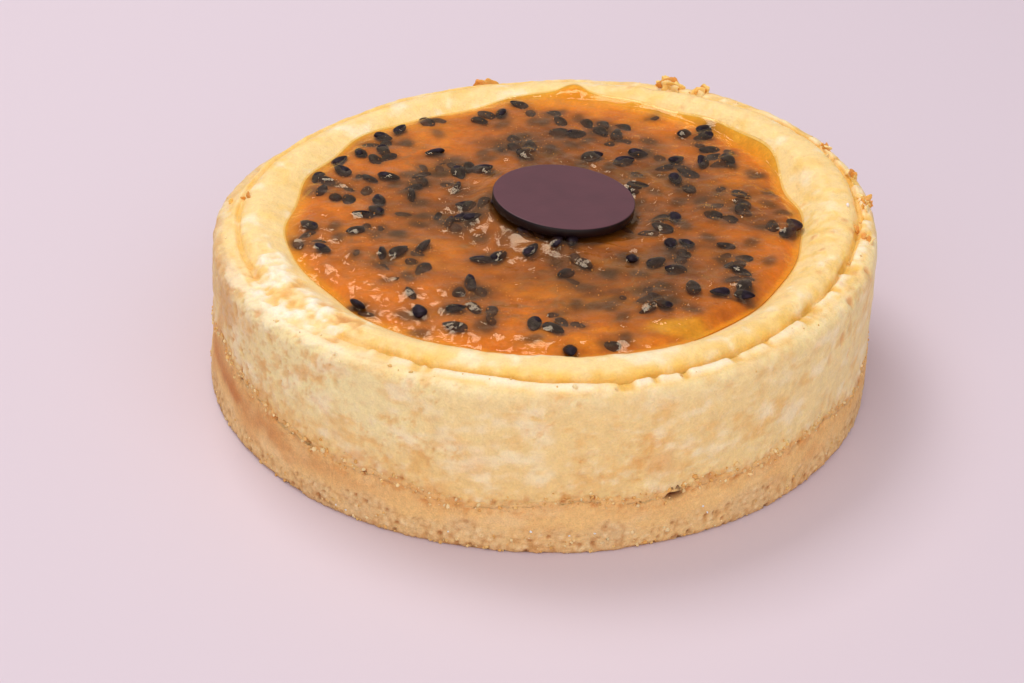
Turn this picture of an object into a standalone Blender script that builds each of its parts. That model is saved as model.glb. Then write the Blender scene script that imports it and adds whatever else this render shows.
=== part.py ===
# Baked cheesecake: a biscuit base, a baked filling with a raised rim, a pool of passion fruit jelly
# in its middle, and a bare chocolate plaque lying tilted on the jelly.
# Metres, +Z up. The origin is the centre of the underside, and the front of the cake faces -Y.
# Azimuths are 0 at +X and -90 degrees at the front. The tables hold them in degrees.
import math

import bmesh
import bpy
from mathutils import Matrix, Vector

MM = 0.001

# Driving dimensions
CAKE_RADIUS = 90 * MM  # at the foot, the inside of an 18 cm ring tin
BISCUIT_HEIGHT = 13.8 * MM  # of the biscuit base, where it wasn't pressed up the tin
RIM_HEIGHT = 46.8 * MM  # mean height of the rim's crest, which rises to the front and right
BASIN_HEIGHT = 39.4 * MM  # floor of the filling under the jelly
JELLY_HEIGHT = 44.5 * MM  # of the jelly's surface at the middle
JELLY_SLOPE_X = 0.016  # rise per metre: the top of the cake isn't quite level
JELLY_SLOPE_Y = -0.017
JELLY_RADIUS = 69.9 * MM
PLAQUE_RADIUS = 19.2 * MM
PLAQUE_THICKNESS = 2.6 * MM
PLAQUE_CENTRE = Vector((5.8, 3.6, 46.9)) * MM  # middle of its thickness
PLAQUE_SLOPE_X = -0.077  # rise per metre
PLAQUE_SLOPE_Y = -0.0465

GAP = 0.3 * MM  # left between touching pieces
SEGMENTS = 96  # round the cake
PLAQUE_SEGMENTS = 64

# The side. Waves are (size, count round the cake, phase), swells are (azimuth, spread, size).
FOOT_HEIGHT = 1.3 * MM
FOOT_INSET = 0.9 * MM
WALL_LEAN = 1.9 * MM  # how far the side leans in by the height of the rim
LEAN_WAVES = ((0.8 * MM, 1, 165),)
WAIST = 0.4 * MM  # the side is hollowed a little just above the biscuit
WAIST_HEIGHT = 19 * MM
WAIST_SPREAD = 8 * MM
SIDE_LUMPS = ((0.22 * MM, 5, 40), (0.14 * MM, 9, 210))
SEAM_LUMPS = ((0.8 * MM, 9, 20), (0.5 * MM, 14, 130), (0.3 * MM, 23, 60))
BISCUIT_RISES = (  # where the biscuit was pressed up the tin
    (-154, 19, 7.4 * MM),
    (-62, 9, 1.5 * MM),
    (38, 22, 2.8 * MM),
    (118, 17, 4.4 * MM),
)
BISCUIT_SETTLE = 0.35  # share of the radius over which the biscuit's top levels out

# The rim
CREASE_RADIUS = 81.7 * MM
CREASE_WAVES = ((1.9 * MM, 1, -28), (0.8 * MM, 3, -97), (1.2 * MM, 4, -23))
CREST_RADIUS = 76.9 * MM
CREST_WAVES = ((1.1 * MM, 1, -30), (0.3 * MM, 6, 0))
RIM_WAVES = ((1.75 * MM, 1, 18), (0.85 * MM, 2, -63), (1.25 * MM, 3, -80))
LEDGE_STEPS = (  # inset from the side and drop below the crest, over the rounded outer edge
    (0.0 * MM, 5.2 * MM),
    (0.25 * MM, 3.9 * MM),
    (0.95 * MM, 2.9 * MM),
    (2.3 * MM, 2.2 * MM),
)
CREASE_STEPS = (  # outset from the crease and drop below the crest
    (1.1 * MM, 2.0 * MM),
    (0.0 * MM, 2.7 * MM),
    (-0.9 * MM, 1.5 * MM),
    (-2.4 * MM, 0.5 * MM),
)
SLUMP = (136, 35)  # the rim sank here, and the ledge fades out
SLUMP_CREST_DROP = 1.6 * MM
SLUMP_CREST_INSET = 1.2 * MM
SLUMP_CREASE_INSET = 1.95 * MM
SLUMP_CREASE_FADE = 0.5  # share of the crease's depth that is lost there
SLUMP_EDGE_DROP = 3.0 * MM  # of the outer edge, below the crest
SLUMP_EDGE_INSET = 1.4 * MM
SLUMP_EDGE_ROUNDING = 1.56  # more inset there for each length of it along the ledge

# The jelly
JELLY_WAVES = ((2.1 * MM, 1, -38), (1.3 * MM, 2, -151), (0.9 * MM, 3, -171))
JELLY_LOBES = ((0.7 * MM, 7, 100), (0.5 * MM, 11, 10), (0.45 * MM, 16, 290))
TONGUE = (83, 5)  # where the jelly ran up on to the rim
TONGUE_REACH = 5.5 * MM
FLOOR_INSET = 8 * MM  # from the jelly's edge in to the flat floor under it
SLOPE_STEPS = (2.2 * MM, 5.0 * MM)  # rings down that slope, inwards from the jelly's edge
FLOOR_SHARES = (0.85, 0.45)  # rings on the floor, as shares of its radius
FILM = 0.9 * MM  # thickness of the jelly where it lies on the rim
EDGE_STEPS = (  # inset and share of the thickness, round the edge
    (0.0 * MM, 0.55),
    (0.35 * MM, 0.85),
    (1.2 * MM, 1.0),
)
TOP_RADII = (62 * MM, 52 * MM, 43 * MM, 35 * MM, 27.5 * MM, 21 * MM, 12 * MM)
MOUND_FLAT = 20.6 * MM  # radius of the raised jelly under the plaque
MOUND_FOOT = 33 * MM
PLAQUE_BEVEL = 0.5 * MM


def waves(azimuth, terms):
    return sum(size * math.cos(count * azimuth + math.radians(phase)) for size, count, phase in terms)


def swell(azimuth, centre, spread):
    """1 at the centre azimuth, falling to 0 on both sides of it."""
    away = (azimuth - math.radians(centre) + math.pi) % (2 * math.pi) - math.pi
    return math.exp(-((away / math.radians(spread)) ** 2))


def smooth_step(x, low, high):
    t = min(max((x - low) / (high - low), 0), 1)
    return t * t * (3 - 2 * t)


def seam_height(azimuth):
    """Top of the biscuit base at the side."""
    rises = sum(size * swell(azimuth, centre, spread) for centre, spread, size in BISCUIT_RISES)
    return BISCUIT_HEIGHT + rises + waves(azimuth, SEAM_LUMPS)


def side_radius(azimuth, height):
    lean = (WALL_LEAN + waves(azimuth, LEAN_WAVES)) * height / RIM_HEIGHT
    waist = WAIST * math.exp(-(((height - WAIST_HEIGHT) / WAIST_SPREAD) ** 2))
    lumps = waves(azimuth, SIDE_LUMPS) * smooth_step(height, FOOT_HEIGHT, BISCUIT_HEIGHT)
    return CAKE_RADIUS - lean - waist + lumps


def jelly_edge(azimuth):
    """Outline of the jelly without its small lobes."""
    return JELLY_RADIUS + waves(azimuth, JELLY_WAVES)


def lobed_edge(azimuth):
    return jelly_edge(azimuth) + waves(azimuth, JELLY_LOBES) + TONGUE_REACH * swell(azimuth, *TONGUE)


def crest(azimuth):
    """Radius and height of the rim's crest."""
    slumped = swell(azimuth, *SLUMP)
    radius = CREST_RADIUS + waves(azimuth, CREST_WAVES) - SLUMP_CREST_INSET * slumped
    return radius, RIM_HEIGHT + waves(azimuth, RIM_WAVES) - SLUMP_CREST_DROP * slumped


def basin_height(azimuth, radius):
    """Top of the filling inside the crest: a level floor, then the rim's inner slope."""
    crest_radius, crest_height = crest(azimuth)
    rise = smooth_step(radius, jelly_edge(azimuth) - FLOOR_INSET, crest_radius)
    return BASIN_HEIGHT + (crest_height - BASIN_HEIGHT) * rise


def basin_radii(azimuth):
    """Rings under the jelly, from its edge inwards."""
    edge = jelly_edge(azimuth)
    slope = [edge - step for step in (*SLOPE_STEPS, FLOOR_INSET)]
    floor = [slope[-1] * share for share in FLOOR_SHARES]
    return [lobed_edge(azimuth), *slope, *floor]


def plaque_underside(x, y):
    """Height of the tilted plane that the plaque's underside lies in."""
    across = PLAQUE_SLOPE_X * (x - PLAQUE_CENTRE.x) + PLAQUE_SLOPE_Y * (y - PLAQUE_CENTRE.y)
    return PLAQUE_CENTRE.z - PLAQUE_THICKNESS / 2 + across


def jelly_top(azimuth, radius):
    """The jelly lies level, runs as a film over the rim, and is heaped up under the plaque."""
    x, y = radius * math.cos(azimuth), radius * math.sin(azimuth)
    level = JELLY_HEIGHT + JELLY_SLOPE_X * x + JELLY_SLOPE_Y * y
    height = max(level, basin_height(azimuth, radius) + GAP + FILM)
    from_plaque = math.hypot(x - PLAQUE_CENTRE.x, y - PLAQUE_CENTRE.y)
    heaped = 1 - smooth_step(from_plaque, MOUND_FLAT, MOUND_FOOT)
    return height + (plaque_underside(x, y) - GAP - height) * heaped


def ring(profile, count=SEGMENTS):
    """Points round the Z axis, where profile(azimuth) gives a radius and a height."""
    points = []
    for i in range(count):
        azimuth = 2 * math.pi * i / count
        radius, height = profile(azimuth)
        points.append(Vector((radius * math.cos(azimuth), radius * math.sin(azimuth), height)))
    return points


def closed_body(name, rings, bottom, top, material):
    """Joins rings, given from the middle of the underside out, up and in to the middle of the top."""
    mesh = bpy.data.meshes.new(name)
    shape = bmesh.new()
    loops = [[shape.verts.new(point) for point in points] for points in rings]
    low, high = shape.verts.new((0, 0, bottom)), shape.verts.new((0, 0, top))
    count = len(loops[0])
    for i in range(count):
        after = (i + 1) % count
        shape.faces.new((low, loops[0][after], loops[0][i]))
        shape.faces.new((high, loops[-1][i], loops[-1][after]))
        for here, there in zip(loops, loops[1:]):
            # the diagonals run alike over and under a gap, so that facing surfaces stay parallel
            if there[i].co.xy.length > here[i].co.xy.length:
                shape.faces.new((here[i], here[after], there[i]))
                shape.faces.new((here[after], there[after], there[i]))
            else:
                shape.faces.new((here[i], here[after], there[after]))
                shape.faces.new((here[i], there[after], there[i]))
    shape.to_mesh(mesh)
    shape.free()
    mesh.shade_smooth()
    mesh.set_sharp_from_angle(angle=math.radians(40))
    mesh.materials.append(material)
    piece = bpy.data.objects.new(name, mesh)
    bpy.context.scene.collection.objects.link(piece)
    return piece


def food_material(name, colour, roughness):
    """colour is linear red, green and blue."""
    material = bpy.data.materials.new(name)
    material.use_nodes = True
    shader = material.node_tree.nodes["Principled BSDF"]
    shader.inputs["Base Color"].default_value = (*colour, 1)
    shader.inputs["Roughness"].default_value = roughness
    shader.inputs["Metallic"].default_value = 0
    return material


def biscuit_base():
    """Pressed biscuit crumb, right through the cake, with a wavy top edge at the side."""

    def up_the_side(share):
        def profile(azimuth):
            height = FOOT_HEIGHT + (seam_height(azimuth) - GAP / 2 - FOOT_HEIGHT) * share
            return side_radius(azimuth, height), height

        return profile

    def top(inward, level):
        def profile(azimuth):
            edge = seam_height(azimuth)
            height = BISCUIT_HEIGHT + (edge - BISCUIT_HEIGHT) * (1 - level) - GAP / 2
            return side_radius(azimuth, edge) * (1 - inward), height

        return profile

    rings = [
        ring(lambda azimuth: (CAKE_RADIUS * 0.5, 0)),
        ring(lambda azimuth: (CAKE_RADIUS - FOOT_INSET, 0)),
        *(ring(up_the_side(share)) for share in (0, 0.5, 1)),
        ring(top(BISCUIT_SETTLE / 3, 0.5)),
        ring(top(BISCUIT_SETTLE, 1)),
    ]
    material = food_material("baked biscuit crumb", (0.56, 0.34, 0.14), 0.85)
    return closed_body("biscuit_base", rings, 0, BISCUIT_HEIGHT - GAP / 2, material)


def baked_filling():
    """The baked cheese filling: side, ledge, crease, rim, and the basin that the jelly lies in."""

    def underside(inward, level):
        def profile(azimuth):
            edge = seam_height(azimuth)
            height = BISCUIT_HEIGHT + (edge - BISCUIT_HEIGHT) * (1 - level) + GAP / 2
            return side_radius(azimuth, edge) * (1 - inward), height

        return profile

    def ledge(inset, drop):
        def profile(azimuth):
            slumped = swell(azimuth, *SLUMP)
            height = crest(azimuth)[1] - drop - SLUMP_EDGE_DROP * slumped
            pulled_in = (SLUMP_EDGE_INSET + SLUMP_EDGE_ROUNDING * inset) * slumped
            return side_radius(azimuth, height) - inset - pulled_in, height

        return profile

    def up_the_side(share):
        def profile(azimuth):
            foot = seam_height(azimuth) + GAP / 2
            top_radius, top = ledge(*LEDGE_STEPS[0])(azimuth)
            height = foot + (top - foot) * share
            pulled_in = side_radius(azimuth, top) - top_radius
            return side_radius(azimuth, height) - pulled_in * share, height

        return profile

    def crease(outset, drop):
        def profile(azimuth):
            slumped = swell(azimuth, *SLUMP)
            radius = CREASE_RADIUS + waves(azimuth, CREASE_WAVES) + outset - SLUMP_CREASE_INSET * slumped
            return radius, crest(azimuth)[1] - drop * (1 - SLUMP_CREASE_FADE * slumped)

        return profile

    def basin(which):
        def profile(azimuth):
            radius = basin_radii(azimuth)[which]
            return radius, basin_height(azimuth, radius)

        return profile

    rings = [
        ring(underside(BISCUIT_SETTLE, 1)),
        ring(underside(BISCUIT_SETTLE / 3, 0.5)),
        *(ring(up_the_side(share)) for share in (0, 0.25, 0.5, 0.75)),
        *(ring(ledge(*step)) for step in LEDGE_STEPS),
        *(ring(crease(*step)) for step in CREASE_STEPS),
        ring(crest),
        *(ring(basin(which)) for which in range(len(basin_radii(0)))),
    ]
    material = food_material("baked cheese filling", (0.91, 0.71, 0.38), 0.6)
    return closed_body("baked_filling", rings, BISCUIT_HEIGHT + GAP / 2, BASIN_HEIGHT, material)


def passion_fruit_jelly():
    """Set jelly that fills the basin, with a rounded edge, one tongue over the rim, and a mound."""

    def floor(which):
        def profile(azimuth):
            radius = basin_radii(azimuth)[which]
            return radius, basin_height(azimuth, radius) + GAP

        return profile

    def edge(inset, share):
        def profile(azimuth):
            radius = lobed_edge(azimuth)
            foot = basin_height(azimuth, radius) + GAP
            lip = max(jelly_top(azimuth, radius - EDGE_STEPS[-1][0]), foot + FILM)
            return radius - inset, foot + (lip - foot) * share

        return profile

    def surface(radius):
        return lambda azimuth: (radius, jelly_top(azimuth, radius))

    rings = [
        *(ring(floor(which)) for which in reversed(range(len(basin_radii(0))))),
        *(ring(edge(*step)) for step in EDGE_STEPS),
        *(ring(surface(radius)) for radius in TOP_RADII),
    ]
    material = food_material("passion fruit jelly", (0.60, 0.20, 0.03), 0.15)
    return closed_body("passion_fruit_jelly", rings, BASIN_HEIGHT + GAP, jelly_top(0, 0), material)


def chocolate_plaque():
    """A round moulded chocolate disc with softened edges, tilted where it came to rest."""
    half = PLAQUE_THICKNESS / 2
    outline = (
        (PLAQUE_RADIUS - PLAQUE_BEVEL, -half),
        (PLAQUE_RADIUS, PLAQUE_BEVEL - half),
        (PLAQUE_RADIUS, half - PLAQUE_BEVEL),
        (PLAQUE_RADIUS - PLAQUE_BEVEL, half),
    )
    rings = [ring(lambda azimuth, corner=corner: corner, PLAQUE_SEGMENTS) for corner in outline]
    material = food_material("dark chocolate", (0.10, 0.05, 0.055), 0.35)
    plaque = closed_body("chocolate_plaque", rings, -half, half, material)
    normal = Vector((-PLAQUE_SLOPE_X, -PLAQUE_SLOPE_Y, 1)).normalized()
    tilt = Vector((0, 0, 1)).rotation_difference(normal).to_matrix().to_4x4()
    plaque.matrix_world = Matrix.Translation(PLAQUE_CENTRE) @ tilt
    return plaque


def main():
    for old in list(bpy.data.objects):
        bpy.data.objects.remove(old, do_unlink=True)
    cake = bpy.data.objects.new("cheesecake", None)
    bpy.context.scene.collection.objects.link(cake)
    for make in (biscuit_base, baked_filling, passion_fruit_jelly, chocolate_plaque):
        make().parent = cake


main()
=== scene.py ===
import math

import bmesh
import bpy
import numpy as np
from mathutils import Euler, Matrix, Vector
from mathutils.bvhtree import BVHTree


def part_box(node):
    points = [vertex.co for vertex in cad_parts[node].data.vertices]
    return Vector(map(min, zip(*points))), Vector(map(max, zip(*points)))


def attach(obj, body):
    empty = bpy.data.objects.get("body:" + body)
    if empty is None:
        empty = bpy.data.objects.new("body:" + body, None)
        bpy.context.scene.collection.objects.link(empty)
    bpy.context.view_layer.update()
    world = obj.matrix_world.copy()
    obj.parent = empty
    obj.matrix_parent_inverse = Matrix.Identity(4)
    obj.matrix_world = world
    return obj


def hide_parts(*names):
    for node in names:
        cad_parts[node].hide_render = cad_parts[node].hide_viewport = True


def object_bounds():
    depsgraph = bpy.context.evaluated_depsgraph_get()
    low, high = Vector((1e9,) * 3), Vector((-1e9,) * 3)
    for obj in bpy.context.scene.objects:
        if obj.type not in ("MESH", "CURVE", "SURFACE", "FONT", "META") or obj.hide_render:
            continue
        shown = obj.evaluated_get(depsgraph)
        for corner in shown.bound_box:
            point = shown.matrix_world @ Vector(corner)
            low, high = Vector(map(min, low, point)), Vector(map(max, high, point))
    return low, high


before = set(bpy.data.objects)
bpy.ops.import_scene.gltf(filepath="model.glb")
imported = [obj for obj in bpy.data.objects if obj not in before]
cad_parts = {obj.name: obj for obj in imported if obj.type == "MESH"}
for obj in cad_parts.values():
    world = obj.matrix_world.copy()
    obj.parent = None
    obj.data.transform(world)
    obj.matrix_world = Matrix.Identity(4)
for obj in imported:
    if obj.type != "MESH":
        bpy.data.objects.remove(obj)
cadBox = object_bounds()
mm = 0.001
cadLow, cadHigh = (np.array(corner) / mm for corner in cadBox)
plaqueLow, plaqueHigh = (np.array(corner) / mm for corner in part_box("chocolate_plaque"))

# The cake's own shape, repeated from its solids. A wave is (size, count round the cake, phase) and
# a swell is (azimuth, spread) or (azimuth, spread, size), in degrees, with 0 at +X and -90 in front.
cake = {
    "radius": (cadHigh[0] - cadLow[0]) / 2,
    "footHeight": 1.3,
    "lean": 1.9,  # the side leans in by this much up to the rim
    "leanWaves": ((0.8, 1, 165),),
    "waist": 0.4,
    "waistHeight": 19,
    "waistSpread": 8,
    "sideLumps": ((0.22, 5, 40), (0.14, 9, 210)),
    "biscuitHeight": 13.8,
    "biscuitRises": ((-154, 19, 7.4), (-62, 9, 1.5), (38, 22, 2.8), (118, 17, 4.4)),
    "seamLumps": ((0.8, 9, 20), (0.5, 14, 130), (0.3, 23, 60)),
    "rimHeight": 46.8,
    "rimWaves": ((1.75, 1, 18), (0.85, 2, -63), (1.25, 3, -80)),
    "crestRadius": 76.9,
    "crestWaves": ((1.1, 1, -30), (0.3, 6, 0)),
    "creaseRadius": 81.7,
    "creaseWaves": ((1.9, 1, -28), (0.8, 3, -97), (1.2, 4, -23)),
    "ledgeSteps": ((0.0, 5.2), (0.25, 3.9), (0.95, 2.9), (2.3, 2.2)),  # inset, drop below the crest
    "creaseSteps": ((1.1, 2.0), (0.0, 2.7), (-0.9, 1.5), (-2.4, 0.5)),  # outset, drop
    "slump": (136, 35),  # the rim sank here
    "slumpCrest": (1.2, 1.6),  # inset and drop
    "slumpCrease": (1.95, 0.5),  # inset, and share of the depth lost
    "slumpEdge": (1.4, 1.56, 3.0),  # inset, its growth along the ledge, drop
    "basinHeight": 39.4,  # of the floor under the jelly
    "jellyHeight": 44.5,
    "jellySlope": (0.016, -0.017),
    "jellyRadius": 69.9,
    "jellyWaves": ((2.1, 1, -38), (1.3, 2, -151), (0.9, 3, -171)),
    "jellyLobes": ((0.7, 7, 100), (0.5, 11, 10), (0.45, 16, 290)),
    "tongue": ((83, 6.5, 0.5), (83, 2.6, 0.5)),  # a tip of jelly at the back
    "tongueReach": 5.5,
    "floorInset": 8,
    "film": 0.9,  # least thickness of jelly, before it thins at its edge
    "moundFlat": 20.6,  # it heaps up to the plaque inside this circle
    "moundFoot": 27.5,
    "margin": 0.05,  # kept free inside the cake's own box
}
plaque = {
    "centre": (plaqueLow + plaqueHigh) / 2,
    "radius": (plaqueHigh[0] - plaqueLow[0]) / 2,
    "thickness": 2.6,
    "slope": (-0.077, -0.0465),
    "rounding": 0.35,
    "sides": 160,
    # painted light: the top is lighter than dark chocolate, partly its own cloudy bloom and partly a painted
    # reflection of the sky; the side is near black, painted shade
    "top": (94, 56, 62),
    "side": (20, 4, 8),
    "shades": (0.90, 1.08),  # it is a little cloudy
    "roughness": (0.34, 0.44),
    "shine": 0.3,
    "cloudScale": 130,
    "grainScale": 700,
    "relief": 0.03,
}


def waves(azimuth, terms):
    return sum(size * np.cos(count * azimuth + math.radians(phase)) for size, count, phase in terms)


def swell(azimuth, centre, spread):
    away = (azimuth - math.radians(centre) + math.pi) % (2 * math.pi) - math.pi
    return np.exp(-((away / math.radians(spread)) ** 2))


def swells(azimuth, terms):
    return sum(size * swell(azimuth, centre, spread) for centre, spread, size in terms)


def smoothStep(x, low, high):
    t = np.clip((x - low) / (high - low), 0, 1)
    return t * t * (3 - 2 * t)


def seamHeight(azimuth):
    rises = swells(azimuth, cake["biscuitRises"])
    return cake["biscuitHeight"] + rises + waves(azimuth, cake["seamLumps"])


def sideRadius(azimuth, height):
    lean = (cake["lean"] + waves(azimuth, cake["leanWaves"])) * height / cake["rimHeight"]
    waist = cake["waist"] * np.exp(-(((height - cake["waistHeight"]) / cake["waistSpread"]) ** 2))
    lumps = waves(azimuth, cake["sideLumps"]) * smoothStep(height, cake["footHeight"], cake["biscuitHeight"])
    return cake["radius"] - lean - waist + lumps


def jellyEdge(azimuth):
    return cake["jellyRadius"] + waves(azimuth, cake["jellyWaves"])


def lobedEdge(azimuth):
    tongue = cake["tongueReach"] * swells(azimuth, cake["tongue"])
    return jellyEdge(azimuth) + waves(azimuth, cake["jellyLobes"]) + tongue


def crest(azimuth):
    slumped = swell(azimuth, *cake["slump"])
    inset, drop = cake["slumpCrest"]
    radius = cake["crestRadius"] + waves(azimuth, cake["crestWaves"]) - inset * slumped
    return radius, cake["rimHeight"] + waves(azimuth, cake["rimWaves"]) - drop * slumped


def basinHeight(azimuth, radius):
    crestRadius, crestHeight = crest(azimuth)
    rise = smoothStep(radius, jellyEdge(azimuth) - cake["floorInset"], crestRadius)
    return cake["basinHeight"] + (crestHeight - cake["basinHeight"]) * rise


def plaqueUnderside(x, y):
    slopeX, slopeY = plaque["slope"]
    centre = plaque["centre"]
    return centre[2] - plaque["thickness"] / 2 + slopeX * (x - centre[0]) + slopeY * (y - centre[1])


def fromPlaque(x, y):
    return np.hypot(x - plaque["centre"][0], y - plaque["centre"][1])


def jellyTop(x, y):
    azimuth, radius = np.arctan2(y, x), np.hypot(x, y)
    slopeX, slopeY = cake["jellySlope"]
    height = np.maximum(
        cake["jellyHeight"] + slopeX * x + slopeY * y,
        basinHeight(azimuth, radius) + cake["film"],
    )
    heaped = 1 - smoothStep(fromPlaque(x, y), cake["moundFlat"], cake["moundFoot"])
    return height + (plaqueUnderside(x, y) - height) * heaped


def latticeTables(seed):
    draw = np.random.default_rng(seed)
    return draw.permutation(256), draw.uniform(-1, 1, 256), draw.uniform(0, 1, (256, 3))


def cornerHash(order, x, y, z):
    return order[(order[(order[x & 255] + y) & 255] + z) & 255]


def softNoise(points, size, seed):
    # between -1 and 1, with features about size across
    order, values, _ = latticeTables(seed)
    scaled = points / size
    cell = np.floor(scaled).astype(int)
    part = scaled - cell
    part = part * part * (3 - 2 * part)
    total = 0
    for corner in np.ndindex(2, 2, 2):
        weight = 1
        for axis in range(3):
            weight = weight * (part[..., axis] if corner[axis] else 1 - part[..., axis])
        index = [cell[..., axis] + corner[axis] for axis in range(3)]
        total = total + weight * values[cornerHash(order, *index)]
    return total


def layeredNoise(points, size, seed, layers=3):
    # each layer is half as wide and a little over half as strong as the last
    total, strength, reach = 0, 1, 0
    for layer in range(layers):
        total = total + strength * softNoise(points, size / 2**layer, seed + layer)
        reach += strength
        strength *= 0.55
    return total / reach * 1.6


def cellNoise(points, size, seed):
    # distance to the nearest of scattered points, as a share of size, and a number that marks it
    order, values, shifts = latticeTables(seed)
    scaled = points / size
    cell = np.floor(scaled).astype(int)
    nearest = np.full(points.shape[:-1], 9.0)
    mark = np.zeros(points.shape[:-1])
    for offset in np.ndindex(3, 3, 3):
        index = cell + np.array(offset) - 1
        hashed = cornerHash(order, index[..., 0], index[..., 1], index[..., 2])
        away = np.linalg.norm(index + shifts[hashed] - scaled, axis=-1)
        closer = away < nearest
        nearest = np.where(closer, away, nearest)
        mark = np.where(closer, values[hashed], mark)
    return nearest, mark


def pitted(points, edge, spacing, seed, stretch, width, ragged, soft, fewer):
    # scattered pits, from 0 to 1: ragged roughens their edges by edge, and fewer leaves some out
    away, mark = cellNoise(points * stretch, spacing, seed)
    return smoothStep(width - away + ragged * edge, 0, soft) * (mark > fewer)


def linear(red, green, blue):
    # from the usual 0 to 255 to the linear values that shaders take
    share = np.array((red, green, blue)) / 255
    return np.where(share <= 0.04045, share / 12.92, ((share + 0.055) / 1.055) ** 2.4)


def tinted(colour, target, amount):
    amount = np.clip(amount, 0, 1)[..., None]
    return colour * (1 - amount) + target * amount


def painted(points, colours, first, layers):
    # the first colour all over, then the others laid on by their amounts
    colour = np.broadcast_to(linear(*colours[first]), points.shape)
    for name, amount in layers:
        colour = tinted(colour, linear(*colours[name]), amount)
    return colour


def blotches(points, terms):
    # each is (colour, amount, size, how much flatter than wide, where it starts, where it is full, seed)
    return [
        (name, amount * smoothStep(layeredNoise(points * (1, 1, flat), size, seed), start, full))
        for name, amount, size, flat, start, full, seed in terms
    ]


def makePiece(name, points, faces, material, colours):
    mesh = bpy.data.meshes.new(name)
    mesh.from_pydata((points * mm).tolist(), [], faces)
    tint = np.ones((len(points), 4))
    tint[:, :3] = colours
    layer = mesh.color_attributes.new(name="tint", type="FLOAT_COLOR", domain="POINT")
    layer.data.foreach_set("color", tint.ravel())
    mesh.shade_smooth()
    mesh.materials.append(material)
    mesh.update()
    piece = bpy.data.objects.new(name, mesh)
    bpy.context.scene.collection.objects.link(piece)
    return piece


def turnedPiece(name, points, ends, colours, endColour, material):
    # rings of points, closed by one more point at each end
    allPoints = np.vstack([points.reshape(-1, 3), ends])
    allColours = np.vstack([colours.reshape(-1, 3), (endColour, endColour)])
    return makePiece(name, allPoints, turnedFaces(*points.shape[:2]), material, allColours)


def turnedFaces(ringCount, sides):
    # quads between rings, and a fan at each end; the two middle points come after the rings
    faces = []
    for row in range(ringCount - 1):
        start, above = row * sides, (row + 1) * sides
        for i in range(sides):
            j = (i + 1) % sides
            faces.append((start + i, start + j, above + j, above + i))
    low, high, last = ringCount * sides, ringCount * sides + 1, (ringCount - 1) * sides
    for i in range(sides):
        j = (i + 1) % sides
        faces.append((low, j, i))
        faces.append((high, last + i, last + j))
    return faces


def copiedFaces(faces, pointCount, copies):
    return [[copy * pointCount + corner for corner in face] for copy in range(copies) for face in faces]


def ringGrid(azimuth, rings):
    return np.array([ringPoints(azimuth, radius, height) for radius, height in rings])


def gridNormals(points):
    around = np.roll(points, -1, axis=1) - np.roll(points, 1, axis=1)
    along = np.gradient(points, axis=0)
    normal = np.cross(around, along)
    return normal / np.maximum(np.linalg.norm(normal, axis=-1, keepdims=True), 1e-9)


def keepInside(points):
    # nothing reaches past the cake's own box
    radius = np.hypot(points[..., 0], points[..., 1])
    shrink = np.minimum(1, (cake["radius"] - cake["margin"]) / np.maximum(radius, 1e-9))
    points[..., 0] *= shrink
    points[..., 1] *= shrink
    points[..., 2] = np.clip(points[..., 2], 0, cadHigh[2] - cake["margin"])
    return points


def evenTurns(sides):
    return 2 * math.pi * np.arange(sides) / sides


def ringPoints(azimuth, radius, height):
    return np.stack([radius * np.cos(azimuth), radius * np.sin(azimuth), height + 0 * azimuth], axis=-1)


def throughPoints(points, spacing):
    # rings on a smooth curve through all but the first and last of these, which only steer it
    rings = []
    for before, start, end, after in zip(points, points[1:], points[2:], points[3:]):
        steps = max(1, round(float(np.hypot(*(end - start)).mean()) / spacing))
        for t in np.arange(steps) / steps:
            bend = 2 * before - 5 * start + 4 * end - after
            twist = 3 * start - before - 3 * end + after
            rings.append(0.5 * (2 * start + (end - before) * t + bend * t**2 + twist * t**3))
    return rings


def newMaterial(name):
    material = bpy.data.materials.new(name)
    material.use_nodes = True
    material.node_tree.nodes.clear()
    return material, material.node_tree


def addNode(tree, kind, inputs=None, operation=None):
    # each input is a plain value or another node's output
    node = tree.nodes.new("ShaderNode" + kind)
    if operation:
        node.operation = operation
    for socket, value in (inputs or {}).items():
        if isinstance(value, bpy.types.NodeSocket):
            tree.links.new(value, node.inputs[socket])
        else:
            node.inputs[socket].default_value = value
    return node


def principledSurface(tree, values):
    shader = addNode(tree, "BsdfPrincipled", values)
    addNode(tree, "OutputMaterial", {"Surface": shader.outputs["BSDF"]})


def placeNode(tree):
    return addNode(tree, "TexCoord").outputs["Object"]


def tintNode(tree):
    node = addNode(tree, "Attribute")
    node.attribute_name = "tint"
    return node


def noiseNode(tree, place, scale, detail=3.0, roughness=0.6):
    values = {"Vector": place, "Scale": scale, "Detail": detail, "Roughness": roughness}
    return addNode(tree, "TexNoise", values).outputs["Fac"]


def rangeNode(tree, value, newLow, newHigh, low=0.3, high=0.7):
    values = {"Value": value, "From Min": low, "From Max": high, "To Min": newLow, "To Max": newHigh}
    return addNode(tree, "MapRange", values).outputs["Result"]


def mathNode(tree, operation, first, second):
    return addNode(tree, "Math", {0: first, 1: second}, operation).outputs["Value"]


def shadedTint(tree, shade):
    values = {0: tintNode(tree).outputs["Color"], "Scale": shade}
    return addNode(tree, "VectorMath", values, "SCALE").outputs["Vector"]


def bumpNode(tree, height, relief, strength=1.0):
    values = {"Height": height, "Distance": relief * mm, "Strength": strength}
    return addNode(tree, "Bump", values).outputs["Normal"]


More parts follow.
